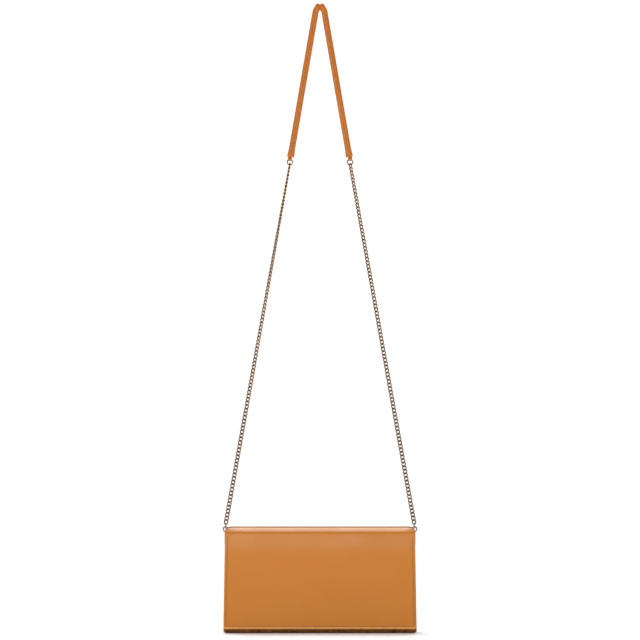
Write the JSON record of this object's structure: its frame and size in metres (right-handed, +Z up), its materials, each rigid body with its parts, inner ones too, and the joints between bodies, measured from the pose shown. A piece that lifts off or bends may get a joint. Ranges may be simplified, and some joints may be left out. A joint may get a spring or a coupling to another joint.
{
  "type": "chain wallet",
  "caption": "Flap wallet in smooth tan leather with folded side gussets, hung on curb chains that join a short leather shoulder strap.",
  "frame": {"origin": "crook of the shoulder strap's top fold, where a hook or a hand holds it", "axes": "+Z up along the hanging strap, -Y out of the front of the wallet, +X to the right seen from the front"},
  "size_m": [0.1964, 0.0327, 0.6344],
  "materials": {
    "calf_leather": "smooth calf, satin",
    "strap_leather": "smooth calf, satin, stitched",
    "slot_leather": "thin skived calf",
    "suede_lining": "matt suede",
    "strap_tape": "woven tape",
    "zip_tape": "woven tape",
    "fibre_board": "bonded fibre board",
    "antique_brass": "aged, polished on the crowns",
    "zip_metal": "satin",
    "magnet_steel": "satin"
  },
  "bodies": {
    "strap": {"strap_face": "strap_leather", "strap_core": "strap_tape", "strap_lining": "strap_leather", "strap_tab_left": "strap_leather", "strap_tab_right": "strap_leather"},
    "chains": {"strap_ring_left": "antique_brass", "strap_ring_right": "antique_brass", "chain_left": "antique_brass", "chain_right": "antique_brass", "end_link_left": "antique_brass", "end_link_right": "antique_brass", "corner_ring_left": "antique_brass", "corner_ring_right": "antique_brass"},
    "wallet": {"corner_tab_left": "calf_leather", "corner_tab_right": "calf_leather", "back_panel": "calf_leather", "back_board": "fibre_board", "back_lining": "suede_lining", "front_panel": "calf_leather", "front_board": "fibre_board", "front_lining": "suede_lining", "front_magnet": "magnet_steel", "base_panel": "calf_leather", "gusset_left": "calf_leather", "gusset_right": "calf_leather", "pocket_back_wall": "suede_lining", "pocket_front_wall": "suede_lining", "card_slot_upper_left": "slot_leather", "card_slot_upper_right": "slot_leather", "card_slot_middle_left": "slot_leather", "card_slot_middle_right": "slot_leather", "card_slot_lower_left": "slot_leather", "card_slot_lower_right": "slot_leather", "zip_tape_back": "zip_tape", "zip_tape_front": "zip_tape", "zip_teeth_back": "zip_metal", "zip_teeth_front": "zip_metal", "zip_stop_left": "zip_metal", "zip_stop_right": "zip_metal"},
    "flap_top": {"flap_top_leather": "calf_leather", "flap_top_lining": "suede_lining"},
    "flap_front": {"flap_leather": "calf_leather", "flap_board": "fibre_board", "flap_lining": "suede_lining", "flap_magnet": "magnet_steel"},
    "slider": {"zip_slider": "zip_metal"},
    "pull": {"zip_pull": "zip_metal"}
  },
  "joints": [
    {"name": "chain_swing", "type": "hinge", "parent": "strap", "child": "chains", "pos_m": [0, 0, -0.1498], "axis": [1, 0, 0], "range_deg": [-60, 60]},
    {"name": "wallet_swing", "type": "hinge", "parent": "chains", "child": "wallet", "pos_m": [0, 0, -0.52545], "axis": [1, 0, 0], "range_deg": [-2, 60]},
    {"name": "flap_lift", "type": "hinge", "parent": "wallet", "child": "flap_top", "pos_m": [0, 0.0148, -0.5221], "axis": [-1, 0, 0], "range_deg": [0, 30]},
    {"name": "flap_fold", "type": "hinge", "parent": "flap_top", "child": "flap_front", "pos_m": [0, -0.0092, -0.5221], "axis": [-1, 0, 0], "range_deg": [0, 135.5]},
    {"name": "zip_slide", "type": "slide", "parent": "wallet", "child": "slider", "axis": [-1, 0, 0], "range_m": [0, 0.146]},
    {"name": "pull_flip", "type": "hinge", "parent": "slider", "child": "pull", "pos_m": [0.072, 0.0023, -0.5387], "axis": [0, 1, 0], "range_deg": [0, 175]}
  ],
  "couplings": [
    {"joint": "flap_fold", "follows": "flap_lift", "ratio": 4.5}
  ]
}
